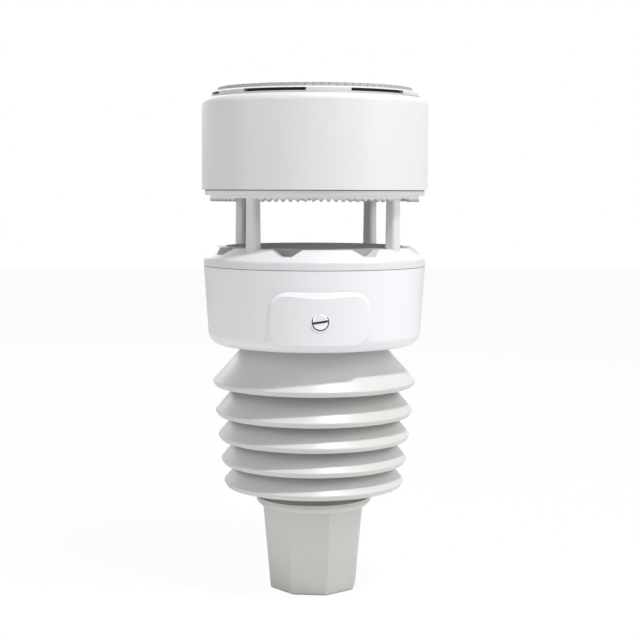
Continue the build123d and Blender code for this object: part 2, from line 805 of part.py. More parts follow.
# ================================================================ base of the rain and wind head
transducer_places = [around(clock, transducer_circle_r)[:2] for clock in spaced(4, pattern_clock)]
drum_boss_places = [around(clock, drum_boss_circle_r)[:2] for clock in spaced(4, pattern_clock)]
transducer_hole_r = transducer_r + transducer_gasket
drum_inside_r = drum_r - drum_wall
spigot_r = drum_inside_r - 5 * slip

with BuildPart() as drum_base:
    with BuildSketch(Plane.XY.offset(base_bottom)):
        Circle(base_r)
    extrude(amount=base_thickness)
    fillet(edges().sort_by(Axis.Z)[0], base_edge_fillet)
    with BuildSketch(Plane.XY.offset(base_top)):
        Circle(spigot_r)
        Circle(spigot_r - spigot_wall, mode=Mode.SUBTRACT)
    extrude(amount=spigot_height)
    with Locations(*[(x, y, base_top) for x, y in transducer_places]):
        Hole(transducer_hole_r, 2 * base_thickness)
    with Locations(*[(x, y, base_top + spigot_height) for x, y in post_places]):
        Hole(tie_rod_r + slip, 4 * base_thickness)
    with Locations(*[(x, y, base_top) for x, y in drum_boss_places]):
        Hole(drum_screw_r + slip, 2 * base_thickness)
keep(drum_base, "drum_base")

tube("transducers", transducer_r, 0, base_bottom - 0.5, base_bottom - 0.5 + transducer_height, transducer_places)
tube("transducer_gaskets", transducer_hole_r, transducer_r, base_bottom, base_top, transducer_places)

# drip ring: a crown of small rounded teeth that sheds water off the head's underside
with BuildPart() as drip_ring:
    with BuildSketch(Plane.XY.offset(base_bottom)):
        Circle(drip_r)
        Circle(drip_r - drip_width, mode=Mode.SUBTRACT)
        flare_width = post_width_high + 2 * post_flare + 2 * slip
        with Locations(*[Location((*place, 0), (0, 0, clock)) for clock, place in zip(post_clocks, post_places)]):
            RectangleRounded(flare_width, flare_width, post_corner + post_flare, mode=Mode.SUBTRACT)
    extrude(amount=-drip_band)
    tooth_pitch = 2 * drip_r * sin(radians(180 / drip_tooth_count))
    clear_of_posts = [
        clock for clock in spaced(drip_tooth_count, pattern_clock)
        if min(abs((clock - post_clock + 180) % 360 - 180) for post_clock in post_clocks) > 8
    ]
    with BuildSketch(Plane(origin=(drip_r, 0, base_bottom - drip_band), x_dir=(0, 1, 0), z_dir=(1, 0, 0))) as tooth_face:
        with BuildLine():
            Polyline((-tooth_pitch / 2, 0.3), (-tooth_pitch / 2 + 0.15, 0), (0, -drip_tooth - 0.5),
                     (tooth_pitch / 2 - 0.15, 0), (tooth_pitch / 2, 0.3), close=True)
        make_face()
        fillet(vertices().sort_by(Axis.Y)[0], 0.6)
    tooth = extrude(tooth_face.sketch, amount=-drip_width, mode=Mode.PRIVATE)
    add([tooth.rotate(Axis.Z, clock - 90) for clock in clear_of_posts])
keep(drip_ring, "drip_ring")

# ================================================================ drum
with BuildPart() as drum_shell:
    with BuildSketch(Plane.XY.offset(drum_bottom)):
        Circle(drum_r)
    extrude(amount=drum_height)
    fillet(edges().sort_by(Axis.Z)[-1], drum_edge_fillet)
    with BuildSketch(Plane.XY.offset(drum_bottom)):
        Circle(drum_inside_r)
    extrude(amount=drum_height - drum_wall, mode=Mode.SUBTRACT)
    # screw bosses, each with a web to the wall
    with BuildSketch(Plane.XY.offset(base_top)):
        with Locations(*drum_boss_places):
            Circle(drum_boss_r)
    extrude(amount=drum_boss_height)
    with BuildSketch(Plane.XY.offset(base_top + spigot_height + 1)):
        with PolarLocations((drum_boss_circle_r + drum_inside_r + 0.5) / 2, 4, pattern_clock):
            Rectangle(drum_inside_r + 0.5 - drum_boss_circle_r, 2.4)
    extrude(amount=drum_boss_height - spigot_height - 1)
    with BuildSketch(Plane.XY.offset(base_top)):
        with Locations(*drum_boss_places):
            Circle(drum_screw_r)
    extrude(amount=drum_boss_height, mode=Mode.SUBTRACT)
    with BuildSketch(Plane.XY.offset(drum_top)):
        Circle(drum_hole_r)
    extrude(amount=-2 * drum_wall, mode=Mode.SUBTRACT)
keep(drum_shell, "drum_shell")

tube("drum_seal", base_r - 0.2, spigot_r, base_top, drum_bottom)
column_group("case_screws", drum_screw_r - 0.1, 0, [
    (base_bottom - 1, drum_bottom + 10, drum_boss_places),
    (lug_screw_bottom, rim_bottom + 1.5, lug_places),
])

sensor_board_bottom = base_top + transducer_height + 4
sensor_post_places = [around(clock, 52)[:2] for clock in spaced(4, pattern_clock + 45)]
column_group("board_standoffs", standoff_r, board_screw_r, [
    (housing_bottom + housing_floor, board_bottom, standoff_places),
    (base_top, sensor_board_bottom, sensor_post_places),
])
tube("sensor_board", 57.0, 6.0, sensor_board_bottom, sensor_board_bottom + board_thickness)
column_group("board_screws", board_screw_r - 0.1, 0, [
    (board_bottom - 5, board_top + 2, standoff_places),
    (sensor_board_bottom - 5, sensor_board_bottom, sensor_post_places),
])
with BuildPart() as sensor_components:
    with BuildSketch(Plane.XY.offset(sensor_board_bottom + board_thickness)):
        with Locations((24, 0)):
            Rectangle(12, 12)
        with Locations((-22, 10)):
            Rectangle(9, 14)
        with PolarLocations(40, 4, 20):
            Rectangle(8, 6)
    extrude(amount=2)
keep(sensor_components, "sensor_components")

# ================================================================ rain plate on its carrier
spun("bezel_ring", [(bezel_inner_r, drum_top), (bezel_outer_r, drum_top), (bezel_outer_r - 0.7, bezel_top),
                    (bezel_inner_r, bezel_top)])

with BuildPart() as plate_pads:
    with BuildSketch(Plane.XY.offset(bezel_top)):
        with BuildLine():
            pad_start = around(-pad_angle / 2, pad_inner_r)[:2]
            pad_start_outer = around(-pad_angle / 2, pad_outer_r)[:2]
            pad_end = around(pad_angle / 2, pad_inner_r)[:2]
            pad_end_outer = around(pad_angle / 2, pad_outer_r)[:2]
            Line(pad_start, pad_start_outer)
            ThreePointArc(pad_start_outer, around(0, pad_outer_r)[:2], pad_end_outer)
            Line(pad_end_outer, pad_end)
            ThreePointArc(pad_end, around(0, pad_inner_r)[:2], pad_start)
        pad_face = make_face(mode=Mode.PRIVATE)
        with PolarLocations(0, pad_count, pattern_clock):
            add(pad_face)
    extrude(amount=pad_height)
keep(plate_pads, "plate_pads")

tube("plate_gasket", pad_inner_r - 0.1, pad_inner_r - 5, bezel_top, pad_top)
spun("plate_carrier", [(bezel_inner_r, pad_top), (carrier_low_r, pad_top), (carrier_high_r, carrier_top),
                       (bezel_inner_r, carrier_top)])

with BuildPart() as rain_plate:
    with BuildSketch(Plane.XY.offset(carrier_top)):
        Circle(plate_r)
        with PolarLocations(plate_r + plate_rib_r - plate_rib_depth, plate_rib_count):
            Circle(plate_rib_r, mode=Mode.SUBTRACT)
    extrude(amount=plate_height)
    with BuildSketch(Plane.XY.offset(carrier_top)):
        Circle(plate_r - plate_skirt)
    extrude(amount=plate_height - plate_thickness, mode=Mode.SUBTRACT)
keep(rain_plate, "rain_plate")

piezo_top = plate_top - plate_thickness
tube("piezo_disc", 17.5, 0, piezo_top - 0.4, piezo_top)
tube("piezo_ceramic", 12.5, 0, piezo_top - 0.8, piezo_top - 0.4)
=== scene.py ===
import json
from math import cos, pi, radians, sin, sqrt

import bmesh
import bpy
from mathutils import Matrix, Vector


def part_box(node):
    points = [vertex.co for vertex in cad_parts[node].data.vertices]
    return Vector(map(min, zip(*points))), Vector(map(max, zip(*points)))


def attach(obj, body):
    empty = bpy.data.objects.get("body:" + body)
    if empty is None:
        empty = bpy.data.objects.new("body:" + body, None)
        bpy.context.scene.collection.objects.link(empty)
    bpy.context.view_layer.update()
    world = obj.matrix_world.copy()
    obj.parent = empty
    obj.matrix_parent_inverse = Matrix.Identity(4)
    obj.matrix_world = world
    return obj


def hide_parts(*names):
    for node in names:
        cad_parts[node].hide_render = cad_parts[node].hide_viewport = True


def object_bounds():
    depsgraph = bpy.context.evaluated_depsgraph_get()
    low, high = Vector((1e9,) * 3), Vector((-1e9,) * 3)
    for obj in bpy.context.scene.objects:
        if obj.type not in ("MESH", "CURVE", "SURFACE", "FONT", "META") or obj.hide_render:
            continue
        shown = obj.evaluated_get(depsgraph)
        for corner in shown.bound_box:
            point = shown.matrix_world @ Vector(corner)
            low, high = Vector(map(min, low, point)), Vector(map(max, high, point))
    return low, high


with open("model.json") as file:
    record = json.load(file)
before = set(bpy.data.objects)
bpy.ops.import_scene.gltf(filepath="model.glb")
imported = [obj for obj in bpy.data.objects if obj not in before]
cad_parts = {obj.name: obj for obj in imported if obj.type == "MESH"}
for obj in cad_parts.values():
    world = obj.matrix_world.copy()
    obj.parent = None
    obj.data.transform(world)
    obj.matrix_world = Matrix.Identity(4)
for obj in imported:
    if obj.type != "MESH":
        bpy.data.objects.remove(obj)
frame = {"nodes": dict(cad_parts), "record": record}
cad_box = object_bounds()
MM = 0.001                        # a millimetre in metres

# ---------------------------------------------------------------- shared sizes, in millimetres
PATTERN_CLOCK = 4.3               # degrees from the front (-Y) towards +X: posts, transducers
HOUSING_FOOT_RADIUS = 69.55       # where the housing's taper begins
RIM_RING_HEIGHT = 12.2


def low(node):
    """Lowest height of a CAD node, in millimetres."""
    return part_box(node)[0].z / MM


def high(node):
    """Highest height of a CAD node, in millimetres."""
    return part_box(node)[1].z / MM


def around(clock, radius, z=0.0):
    """A point in millimetres at a clock angle, counted from the front (-Y) towards +X."""
    return Vector((radius * sin(radians(clock)), -radius * cos(radians(clock)), z))


# ---------------------------------------------------------------- camera
CAMERA_CLOCK = -3.2
CAMERA_DISTANCE = 960.0
CAMERA_HEIGHT = 263.9
CAMERA_SIDESTEP = 3.8
CAMERA_TILT = 5.04
CAMERA_LENS = 81.56
CAMERA_ROLL = 0.2


def make_camera():
    data = bpy.data.cameras.new("camera")
    data.lens = CAMERA_LENS
    data.clip_start = 0.01
    camera = bpy.data.objects.new("camera", data)
    bpy.context.scene.collection.objects.link(camera)
    place = around(CAMERA_CLOCK, CAMERA_DISTANCE, CAMERA_HEIGHT)
    place += around(CAMERA_CLOCK + 90, CAMERA_SIDESTEP)
    turn = Matrix.Rotation(radians(CAMERA_CLOCK), 4, "Z")
    turn = turn @ Matrix.Rotation(radians(90 - CAMERA_TILT), 4, "X")
    turn = turn @ Matrix.Rotation(radians(CAMERA_ROLL), 4, "Z")
    camera.matrix_world = Matrix.Translation(place * MM) @ turn
    bpy.context.scene.camera = camera


# ---------------------------------------------------------------- light and backdrop
AMBIENT_STRENGTH = 0.27
BACKDROP_STRENGTH = 1.0
FLOOR_GLOW_SHARE = 0.95           # the rest of the floor's white is lit, so a shadow shows
FLOOR_DROP = 0.0002               # metres under the object, so that the faces don't coincide

# name, place and aimed-at point in metres, width and height in metres, watts
LAMPS = (
    ("key_above", (0.42, -0.6, 1.72), (0, 0, 0.15), (0.12, 0.12), 21),
    ("right_softbox", (1.15, -0.62, 0.85), (0, 0, 0.2), (0.22, 1.0), 8.5),
    ("rear_fill", (-0.5, 1.4, 0.8), (0, 0, 0.2), (0.8, 0.8), 4.5),
    ("left_fill", (-1.2, -0.6, 0.75), (0, 0, 0.2), (0.7, 0.9), 5.4),
)


def softbox(name, location, target, size, watts):
    data = bpy.data.lights.new(name, "AREA")
    data.shape = "RECTANGLE"
    data.size, data.size_y = size
    data.energy = watts
    lamp = bpy.data.objects.new(name, data)
    bpy.context.scene.collection.objects.link(lamp)
    lamp.location = location
    direction = Vector(target) - Vector(location)
    lamp.rotation_euler = direction.to_track_quat("-Z", "Y").to_euler()


def white_background(nodes, strength):
    shader = nodes.new("ShaderNodeBackground")
    shader.inputs["Color"].default_value = (1, 1, 1, 1)
    shader.inputs["Strength"].default_value = strength
    return shader


def make_world():
    """Dim white light all round, with a full white backdrop for what is seen or mirrored."""
    world = bpy.data.worlds.new("studio")
    bpy.context.scene.world = world
    world.use_nodes = True
    nodes, links = world.node_tree.nodes, world.node_tree.links
    nodes.clear()
    output = nodes.new("ShaderNodeOutputWorld")
    paths = nodes.new("ShaderNodeLightPath")
    ambient = white_background(nodes, AMBIENT_STRENGTH)
    backdrop = white_background(nodes, BACKDROP_STRENGTH)
    mix = nodes.new("ShaderNodeMixShader")
    white_rays = paths.outputs["Is Camera Ray"]
    for ray in ("Is Transmission Ray", "Is Glossy Ray"):
        either = nodes.new("ShaderNodeMath")
        either.operation = "MAXIMUM"
        links.new(white_rays, either.inputs[0])
        links.new(paths.outputs[ray], either.inputs[1])
        white_rays = either.outputs[0]
    links.new(white_rays, mix.inputs["Fac"])
    links.new(ambient.outputs[0], mix.inputs[1])
    links.new(backdrop.outputs[0], mix.inputs[2])
    links.new(mix.outputs[0], output.inputs["Surface"])


def make_floor():
    """A plain white floor that still takes the object's shadow."""
    bpy.ops.mesh.primitive_plane_add(size=8)
    floor = bpy.context.object
    floor.name = "studio_floor"
    floor.location.z = cad_box[0][2] - FLOOR_DROP
    material = bpy.data.materials.new("studio_floor")
    material.use_nodes = True
    nodes, links = material.node_tree.nodes, material.node_tree.links
    shader = nodes["Principled BSDF"]
    shader.inputs["Base Color"].default_value = (0.9, 0.9, 0.9, 1)
    shader.inputs["Roughness"].default_value = 0.9
    shader.inputs["Specular IOR Level"].default_value = 0.0
    white = nodes.new("ShaderNodeEmission")
    white.inputs["Strength"].default_value = 1.0
    paths = nodes.new("ShaderNodeLightPath")
    share = nodes.new("ShaderNodeMath")
    share.operation = "MULTIPLY"
    share.inputs[1].default_value = FLOOR_GLOW_SHARE
    mix = nodes.new("ShaderNodeMixShader")
    links.new(paths.outputs["Is Camera Ray"], share.inputs[0])
    links.new(share.outputs[0], mix.inputs["Fac"])
    links.new(shader.outputs[0], mix.inputs[1])
    links.new(white.outputs[0], mix.inputs[2])
    links.new(mix.outputs[0], nodes["Material Output"].inputs["Surface"])
    floor.data.materials.append(material)


make_camera()
make_world()
make_floor()
for lamp_settings in LAMPS:
    softbox(*lamp_settings)
bpy.context.scene.view_settings.view_transform = "Standard"


# ---------------------------------------------------------------- materials
class Finish:
    """A material built up from the Principled shader and noise on Object coordinates."""

    def __init__(self, name, colour, roughness, metallic=0.0):
        self.material = bpy.data.materials.new(name)
        self.material.use_nodes = True
        self.nodes = self.material.node_tree.nodes
        self.links = self.material.node_tree.links
        self.shader = self.nodes["Principled BSDF"]
        self.coordinates = self.nodes.new("ShaderNodeTexCoord")
        self.colour = colour
        self.roughness = roughness
        self.shader.inputs["Base Color"].default_value = (*colour, 1)
        self.shader.inputs["Roughness"].default_value = roughness
        self.shader.inputs["Metallic"].default_value = metallic

    def noise(self, scale, detail):
        """A noise pattern with features of about 1 / scale metres."""
        pattern = self.nodes.new("ShaderNodeTexNoise")
        pattern.inputs["Scale"].default_value = scale
        pattern.inputs["Detail"].default_value = detail
        self.links.new(self.coordinates.outputs["Object"], pattern.inputs["Vector"])
        return pattern.outputs["Fac"]

    def remap(self, value, low_in, high_in, low_out, high_out):
        node = self.nodes.new("ShaderNodeMapRange")
        node.inputs["From Min"].default_value = low_in
        node.inputs["From Max"].default_value = high_in
        node.inputs["To Min"].default_value = low_out
        node.inputs["To Max"].default_value = high_out
        self.links.new(value, node.inputs["Value"])
        return node.outputs["Result"]

    def tint(self, factor, other):
        """Mixes the plain colour with another by a factor."""
        mix = self.nodes.new("ShaderNodeMix")
        mix.data_type = "RGBA"
        mix.inputs["A"].default_value = (*self.colour, 1)
        mix.inputs["B"].default_value = (*other, 1)
        self.links.new(factor, mix.inputs["Factor"])
        self.links.new(mix.outputs["Result"], self.shader.inputs["Base Color"])

    def vary_roughness(self, pattern, spread):
        result = self.remap(pattern, 0.3, 0.7, self.roughness - spread, self.roughness + spread)
        self.links.new(result, self.shader.inputs["Roughness"])

    def bump(self, pattern, depth, strength):
        """Raises the surface by a pattern, depth in millimetres, over any bump before it."""
        node = self.nodes.new("ShaderNodeBump")
        node.inputs["Distance"].default_value = depth * MM
        node.inputs["Strength"].default_value = strength
        self.links.new(pattern, node.inputs["Height"])
        normal = self.shader.inputs["Normal"]
        if normal.is_linked:
            self.links.new(normal.links[0].from_socket, node.inputs["Normal"])
        self.links.new(node.outputs["Normal"], normal)


SPARK_SCALE, SPARK_DEPTH = 1400, 0.012    # spark texture of the moulds
DRIP_SHADE_HEIGHT = 1.2                   # millimetres under the drip ring's top that stay free of the painted shade


def moulded(name, colour, shade, roughness=0.42, grain=SPARK_SCALE, grain_depth=SPARK_DEPTH):
    """Satin moulded plastic: fine grain, faint flow marks and slight unevenness of gloss."""
    finish = Finish(name, colour, roughness)
    finish.tint(finish.remap(finish.noise(9, 4), 0.35, 0.75, 0.0, 1.0), shade)
    finish.vary_roughness(finish.noise(60, 3), 0.012)
    finish.bump(finish.noise(grain, 2), grain_depth, 0.6)
    finish.bump(finish.noise(25, 2), 0.05, 0.25)
    return finish.material


def metal(name, colour, roughness=0.22):
    finish = Finish(name, colour, roughness, metallic=1.0)
    finish.vary_roughness(finish.noise(700, 3), 0.08)
    finish.bump(finish.noise(1800, 2), 0.01, 0.5)
    return finish.material


def rubber(name, colour):
    finish = Finish(name, colour, 0.7)
    worn = tuple(min(1, c * 1.8 + 0.01) for c in colour)
    finish.tint(finish.remap(finish.noise(40, 3), 0.4, 0.7, 0.0, 0.5), worn)
    finish.bump(finish.noise(900, 3), 0.02, 0.6)
    return finish.material


def drip_finish():
    """The drum's plastic with painted shade, darker towards the tips of the drip teeth."""
    finish = Finish("drip_painted_shade", (0.76, 0.77, 0.79), 0.4)
    axes = finish.nodes.new("ShaderNodeSeparateXYZ")
    finish.links.new(finish.coordinates.outputs["Object"], axes.inputs["Vector"])
    tips, root = low("drip_ring") * MM, (high("drip_ring") - DRIP_SHADE_HEIGHT) * MM
    # painted shade: the teeth darken to mid grey towards their tips
    finish.tint(finish.remap(axes.outputs["Z"], root, tips, 0.0, 1.0), (0.30, 0.30, 0.31))
    finish.bump(finish.noise(SPARK_SCALE, 2), SPARK_DEPTH, 0.6)
    return finish.material


FINISHES = {
    "drum_white": moulded("drum_white", (0.66, 0.67, 0.685), (0.64, 0.65, 0.665)),
    "drip_painted_shade": drip_finish(),
    "housing_white": moulded("housing_white", (0.765, 0.765, 0.79), (0.745, 0.745, 0.77), 0.33),
    "rim_white": moulded("rim_white", (0.67, 0.67, 0.69), (0.65, 0.65, 0.67), 0.33),
    "shield_white": moulded("shield_white", (0.60, 0.60, 0.585), (0.56, 0.56, 0.545), 0.36),
    "socket_grey": moulded("socket_grey", (0.60, 0.60, 0.575), (0.56, 0.56, 0.54), 0.5, 1100, 0.03),
    "post_grey": moulded("post_grey", (0.66, 0.66, 0.67), (0.62, 0.62, 0.63)),
    "dish_grey": moulded("dish_grey", (0.36, 0.36, 0.36), (0.28, 0.28, 0.28), 0.6, 700, 0.12),
    "plate_grey": moulded("plate_grey", (0.42, 0.42, 0.42), (0.36, 0.36, 0.36), 0.55, 900, 0.04),
    "membrane_white": moulded("membrane_white", (0.7, 0.7, 0.7), (0.6, 0.6, 0.6), 0.8, 1200, 0.08),
    "ceramic": moulded("ceramic", (0.8, 0.77, 0.7), (0.75, 0.72, 0.64), 0.6),
    "board_green": moulded("board_green", (0.02, 0.13, 0.06), (0.015, 0.1, 0.05), 0.35),
    "component_black": moulded("component_black", (0.02, 0.02, 0.022), (0.03, 0.03, 0.03), 0.45),
    "terminal_green": moulded("terminal_green", (0.03, 0.25, 0.08), (0.03, 0.2, 0.07), 0.4),
    "dial_white": moulded("dial_white", (0.8, 0.8, 0.76), (0.75, 0.75, 0.7), 0.4),
    "button_black": moulded("button_black", (0.03, 0.03, 0.03), (0.04, 0.04, 0.04), 0.4),
    "rubber_black": rubber("rubber_black", (0.015, 0.015, 0.016)),
    "seam_grey": rubber("seam_grey", (0.12, 0.105, 0.09)),
    "steel": metal("steel", (0.62, 0.63, 0.65)),
    "screw_bright": metal("screw_bright", (0.78, 0.8, 0.83), 0.12),
    "brass": metal("brass", (0.72, 0.52, 0.22), 0.28),
}
# CAD nodes that look a little different from the rest of their slot; the drip ring's difference is
# painted shade towards its teeth's tips
OWN_FINISHES = {"drip_ring": "drip_painted_shade", "rim_ring": "rim_white"}

node_slots = {entry["node"]: entry["material_slot"] for entry in frame["record"]["subparts"]}
for node, cad_object in frame["nodes"].items():
    cad_object.data.materials.clear()
    cad_object.data.materials.append(FINISHES[OWN_FINISHES.get(node, node_slots[node])])


# ---------------------------------------------------------------- making pieces
def everything(mesh):
    return mesh.verts[:] + mesh.edges[:] + mesh.faces[:]


def verts_of(parts):
    return [part for part in parts if isinstance(part, bmesh.types.BMVert)]


def lathe(mesh, profile, steps, centre=(0, 0, 0), axis=(0, 0, 1)):
    """Spins a profile of (radius, height) points, in millimetres, once round an axis."""
    axis = Vector(axis).normalized()
    lean = axis.to_track_quat("Z", "Y").to_matrix()
    points = [mesh.verts.new(Vector(centre) + lean @ Vector((r, 0, h))) for r, h in profile]
    edges = [mesh.edges.new(pair) for pair in zip(points, points[1:])]
    bmesh.ops.spin(mesh, geom=points + edges, cent=centre, axis=axis, angle=2 * pi, steps=steps,
                   use_merge=True)
    bmesh.ops.remove_doubles(mesh, verts=mesh.verts, dist=0.001)
    bmesh.ops.recalc_face_normals(mesh, faces=mesh.faces)


def block(mesh, centre, size, turn=0.0):
    """A box in millimetres, turned about Z by degrees."""
    made = bmesh.ops.create_cube(mesh, size=1)["verts"]
    bmesh.ops.scale(mesh, vec=size, verts=made)
    bmesh.ops.rotate(mesh, verts=made, matrix=Matrix.Rotation(radians(turn), 3, "Z"))
    bmesh.ops.translate(mesh, verts=made, vec=centre)
    return made


def join(mesh, other, name):
    """Adds a second mesh to the first and frees it."""
    carrier = bpy.data.meshes.new(name)
    other.to_mesh(carrier)
    other.free()
    mesh.from_mesh(carrier)


def finish_piece(mesh, name, body, slot, sharp_angle):
    """Turns a mesh in millimetres into a piece in metres that rides on a body."""
    bmesh.ops.scale(mesh, vec=(MM, MM, MM), verts=mesh.verts)
    data = bpy.data.meshes.new(name)
    mesh.to_mesh(data)
    mesh.free()
    piece = bpy.data.objects.new(name, data)
    bpy.context.scene.collection.objects.link(piece)
    data.shade_smooth()
    data.set_sharp_from_angle(angle=radians(sharp_angle))
    data.materials.append(FINISHES[slot])
    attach(piece, body)
    return piece


# ---------------------------------------------------------------- door screw, in millimetres
SCREW_HEAD_HEIGHT = 2.6
SCREW_EDGE_DROP = 1.6             # from the crown's top to its edge
SCREW_CROWN_DROP = 1.25           # depth of the dome
SCREW_CROWN_SHARE = 0.96          # of the head's radius
SCREW_SLOT_WIDTH = 1.3
SCREW_SLOT_DEPTH = 1.7
SCREW_SLOT_TILT = 10.0            # degrees
SCREW_SHANK_RADIUS = 2.45
SCREW_SHANK_BEVEL = 0.4
# a black sheet low in the slot: painted shadow where the slot is deep
SLOT_SHADOW_SHORTER = 0.9          # than the head is wide
SLOT_SHADOW_THICKNESS = 0.1
SLOT_SHADOW_WIDTH = 1.28
SLOT_SHADOW_HEIGHT = 1.0           # over the head's seat
RECESS_MARGIN = 0.3               # what the black ring of painted shade shows around the head
RECESS_THICKNESS = 0.3
RECESS_HEIGHT = 1.25              # over the head's seat


def slotted_head(centre_z, seat_y, radius):
    """A domed head facing -Y: two halves either side of a slot, on a round base."""
    height = SCREW_HEAD_HEIGHT
    crown = [(0.0, height)]
    crown += [(radius * sin(radians(angle)) * SCREW_CROWN_SHARE,
               height - SCREW_CROWN_DROP * (1 - cos(radians(angle)))) for angle in range(8, 73, 8)]
    crown += [(radius, height - SCREW_EDGE_DROP), (radius, 0.0), (0.0, 0.0)]
    mesh = bmesh.new()
    lathe(mesh, crown, 72)
    tilt = radians(SCREW_SLOT_TILT)
    across = Vector((-sin(tilt), cos(tilt), 0))
    base = mesh.copy()
    bmesh.ops.bisect_plane(mesh, geom=everything(mesh), plane_co=across * SCREW_SLOT_WIDTH / 2,
                           plane_no=across, clear_inner=True)
    bmesh.ops.holes_fill(mesh, edges=[edge for edge in mesh.edges if edge.is_boundary], sides=0)
    twin = bmesh.ops.duplicate(mesh, geom=everything(mesh))["geom"]
    bmesh.ops.rotate(mesh, verts=verts_of(twin), matrix=Matrix.Rotation(pi, 3, "Z"))
    bmesh.ops.bisect_plane(base, geom=everything(base), plane_co=(0, 0, height - SCREW_SLOT_DEPTH),
                           plane_no=(0, 0, 1), clear_outer=True)
    bmesh.ops.holes_fill(base, edges=[edge for edge in base.edges if edge.is_boundary], sides=0)
    join(mesh, base, "screw_base")
    bmesh.ops.recalc_face_normals(mesh, faces=mesh.faces)
    bmesh.ops.rotate(mesh, verts=mesh.verts, matrix=Matrix.Rotation(radians(90), 3, "X"))
    bmesh.ops.translate(mesh, verts=mesh.verts, vec=(0, seat_y, centre_z))
    return mesh


def door_screw_piece():
    """Domed slotted screw with its shank, a black sheet of painted shadow in its slot and a black
    ring of painted shade behind it.
    """
    lowest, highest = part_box("door_screw")
    radius = (highest.x - lowest.x) / 2 / MM
    centre_z = (lowest.z + highest.z) / 2 / MM
    seat_y = lowest.y / MM + SCREW_HEAD_HEIGHT
    mesh = slotted_head(centre_z, seat_y, radius)
    length = highest.y / MM - seat_y
    shank = [(0, 0), (SCREW_SHANK_RADIUS, 0), (SCREW_SHANK_RADIUS, length - SCREW_SHANK_BEVEL),
             (SCREW_SHANK_RADIUS - SCREW_SHANK_BEVEL, length), (0, length)]
    lathe(mesh, shank, 32, (0, seat_y, centre_z), (0, 1, 0))
    screw = finish_piece(mesh, "door_screw_head", "door_screw", "screw_bright", 50)
    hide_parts("door_screw")
    # painted shadow: a black sheet low in the slot darkens it
    slot_painted_shadow = bmesh.new()
    block(slot_painted_shadow, (0, 0, 0),
          (2 * radius - SLOT_SHADOW_SHORTER, SLOT_SHADOW_THICKNESS, SLOT_SHADOW_WIDTH))
    bmesh.ops.rotate(slot_painted_shadow, verts=slot_painted_shadow.verts,
                     matrix=Matrix.Rotation(radians(-SCREW_SLOT_TILT), 3, "Y"))
    bmesh.ops.translate(slot_painted_shadow, verts=slot_painted_shadow.verts,
                        vec=(0, seat_y - SLOT_SHADOW_HEIGHT, centre_z))
    finish_piece(slot_painted_shadow, "screw_slot_painted_shadow", "door_screw", "rubber_black", 35)
    # painted shade: a black disc behind the head shows as a dark ring in the gap to its collar
    recess_radius = radius + RECESS_MARGIN
    recess = bmesh.new()
    lathe(recess, [(0, 0), (recess_radius, 0), (recess_radius, RECESS_THICKNESS),
                   (0, RECESS_THICKNESS)], 64,
          (0, seat_y - RECESS_HEIGHT, centre_z), (0, -1, 0))
    finish_piece(recess, "screw_recess_painted_shade", "service_door", "rubber_black", 35)


# ---------------------------------------------------------------- service door, in millimetres
DOOR_CORNER = 11.0
DOOR_STRIP_WIDTH = 3.6            # upright strips that let the flat panel curve
DOOR_STRIPS_PER_SIDE = 8
DOOR_BACK = 0.3                   # this and the next three are heights over the housing's skin
DOOR_EDGE = 0.95
DOOR_TOP_EDGE = 0.45
DOOR_FACE = 2.1
DOOR_TOP_BAND = 6.0               # how far down the lower top edge reaches
DOOR_BEVEL = 1.1
TOP_BEVEL_START = 2.0             # over the door's middle
TOP_BEVEL_MARGIN = 3.1
TOP_BEVEL_DIP = 2.3               # how far the face's top edge lies lower, on average
TOP_BEVEL_CROWN = 0.9             # how much more in the middle, and less at the corners
TOP_BEVEL_HALF_WIDTH = 24.0
DOOR_CREASE_ANGLE = 9             # degrees
DOOR_EDGE_ROUND = 0.3
LIP_INSET = 7.2
LIP_CORNER = 7.4
LIP_WALL = 2.0
LIP_FRONT = 0.4                   # both over the housing's skin
LIP_BACK = -3.4
SCREW_PROUD = 1.25                # how far the screw's head stands over its collar's foot
# the collar's (radius, height) over that foot
SCREW_COLLAR = [(5.2, -0.6), (5.2, 0.05), (5.45, 0.2), (5.8, 0.2), (6.3, 0.0), (6.3, -0.6),
                (5.2, -0.6)]


def rounded_plate(mesh, width, height, corner, centre_z):
    """A flat face across Y with rounded corners, cut into upright strips so that it can curve."""
    corners = [mesh.verts.new((x * width / 2, 0, centre_z + z * height / 2))
               for x, z in ((-1, -1), (1, -1), (1, 1), (-1, 1))]
    mesh.faces.new(corners)
    bmesh.ops.bevel(mesh, geom=corners, offset=corner, segments=10, profile=0.5,
                    affect="VERTICES", material=-1)
    for step in range(-DOOR_STRIPS_PER_SIDE, DOOR_STRIPS_PER_SIDE + 1):
        bmesh.ops.bisect_plane(mesh, geom=everything(mesh),
                               plane_co=(step * DOOR_STRIP_WIDTH, 0, 0), plane_no=(1, 0, 0))


def wrap(verts, proud):
    """Lays points on the tapered housing, proud of its skin."""
    foot_z, head_z = low("housing_body"), high("rim_ring") - RIM_RING_HEIGHT
    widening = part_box("rim_ring")[1].x / MM - HOUSING_FOOT_RADIUS
    for vert in verts:
        radius = HOUSING_FOOT_RADIUS + (vert.co.z - foot_z) * widening / (head_z - foot_z)
        vert.co.y = -sqrt((radius + proud) ** 2 - vert.co.x ** 2)


def door_lip(width, height, centre_z):
    """The wall behind the door that fits into the service recess."""
    lip = bmesh.new()
    rounded_plate(lip, width - LIP_INSET, height - LIP_INSET, LIP_CORNER, centre_z)
    hollow = lip.faces[:]
    rim = bmesh.ops.inset_region(lip, faces=hollow, thickness=LIP_WALL, use_even_offset=True,
                                 use_boundary=True)["faces"]
    bmesh.ops.delete(lip, geom=hollow, context="FACES")
    wrap(lip.verts, LIP_FRONT)
    deep = bmesh.ops.extrude_face_region(lip, geom=rim, use_keep_orig=True)["geom"]
    wrap(verts_of(deep), LIP_BACK)
    bmesh.ops.recalc_face_normals(lip, faces=lip.faces)
    return lip


